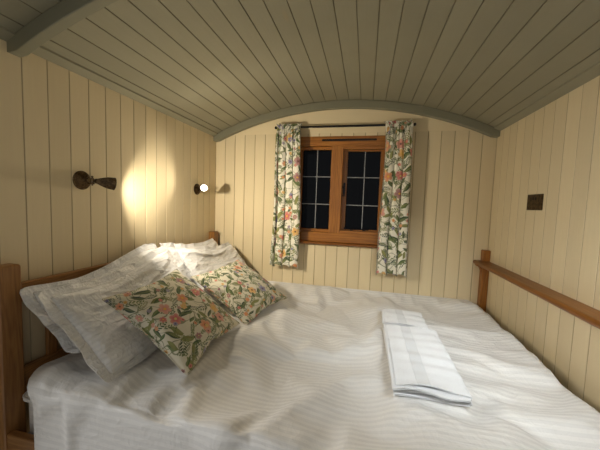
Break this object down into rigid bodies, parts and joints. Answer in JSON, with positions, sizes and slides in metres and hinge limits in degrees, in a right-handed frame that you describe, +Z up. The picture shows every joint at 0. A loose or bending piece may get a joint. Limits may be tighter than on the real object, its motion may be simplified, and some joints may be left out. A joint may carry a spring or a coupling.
{
  "type": "window-end sleeping bay of a shepherd's hut",
  "caption": "Open-ended end bay of a shepherd's hut: insulated board walls, curved corrugated roof, oak window, fitted bed with bedding, shelf and wall lamps.",
  "frame": {"origin": "middle of the footprint, on the level that the chassis rails rest on", "axes": "+Z up; +Y from the open end towards the window wall; +X towards the foot of the bed"},
  "size_m": [2.5028, 1.955, 2.5743],
  "materials": {
    "chassis_steel": "black painted rolled steel",
    "frame_timber": "sawn softwood, insulated",
    "floor_timber": "planed softwood boards",
    "cream_paint": "cream eggshell paint on V-jointed boards",
    "ceiling_paint": "grey-green eggshell paint on V-jointed boards",
    "arch_paint": "darker grey-green eggshell paint",
    "outer_paint": "grey-green outdoor paint on vertical boards",
    "roof_steel": "coated corrugated sheet",
    "oak": "oiled oak",
    "waxed_pine": "waxed pine",
    "pane_glass": "clear",
    "dark_iron": "black satin",
    "antique_bronze": "antiqued",
    "floral_cloth": "printed cotton",
    "ticking": "woven ticking",
    "white_linen": "sateen-striped cotton",
    "towelling": "looped cotton"
  },
  "bodies": {
    "root": {"chassis_rails": "chassis_steel", "floor_core": "frame_timber", "floor_boards": "floor_timber", "left_wall_core": "frame_timber", "left_wall_lining": "cream_paint", "left_wall_cladding": "outer_paint", "right_wall_core": "frame_timber", "right_wall_lining": "cream_paint", "right_wall_cladding": "outer_paint", "end_wall_core_left": "frame_timber", "end_wall_core_right": "frame_timber", "end_wall_core_below": "frame_timber", "end_wall_core_above": "frame_timber", "end_wall_lining": "cream_paint", "end_wall_head_panel": "cream_paint", "end_wall_cladding": "outer_paint", "ceiling_lining": "ceiling_paint", "roof_core": "frame_timber", "roof_sheet": "roof_steel", "end_fascia": "outer_paint", "end_arch": "arch_paint", "near_arch": "arch_paint", "cornices": "ceiling_paint", "window_frame": "oak", "casement_sash": "oak", "window_glass": "pane_glass", "window_board": "oak", "outer_sill": "outer_paint", "window_ironwork": "dark_iron", "curtain_pole": "dark_iron", "curtain_left": "floral_cloth", "curtain_right": "floral_cloth", "near_lamp_bracket": "antique_bronze", "far_lamp_bracket": "antique_bronze", "socket_plate": "antique_bronze", "foot_shelf": "oak", "shelf_posts": "oak", "headboard_posts": "waxed_pine", "headboard_rails": "waxed_pine", "bed_side_rails": "waxed_pine", "bed_foot_end": "waxed_pine", "bed_slats": "floor_timber", "mattress": "ticking", "duvet": "white_linen", "near_pillow_back": "white_linen", "near_pillow_front": "white_linen", "far_pillow_back": "white_linen", "far_pillow_front": "white_linen", "near_cushion": "floral_cloth", "far_cushion": "floral_cloth", "bath_towel": "towelling", "hand_towel": "towelling"},
    "near_lamp_head": {"near_lamp_head": "antique_bronze"},
    "far_lamp_head": {"far_lamp_head": "antique_bronze"}
  },
  "joints": [
    {"name": "near_lamp_swivel", "type": "hinge", "parent": "root", "child": "near_lamp_head", "pos_m": [-1.038, -0.4205, 1.74], "axis": [0, 0, 1], "range_deg": [-150, 25]},
    {"name": "far_lamp_swivel", "type": "hinge", "parent": "root", "child": "far_lamp_head", "pos_m": [-1.038, 0.5355, 1.753], "axis": [0, 0, 1], "range_deg": [-25, 145]}
  ]
}
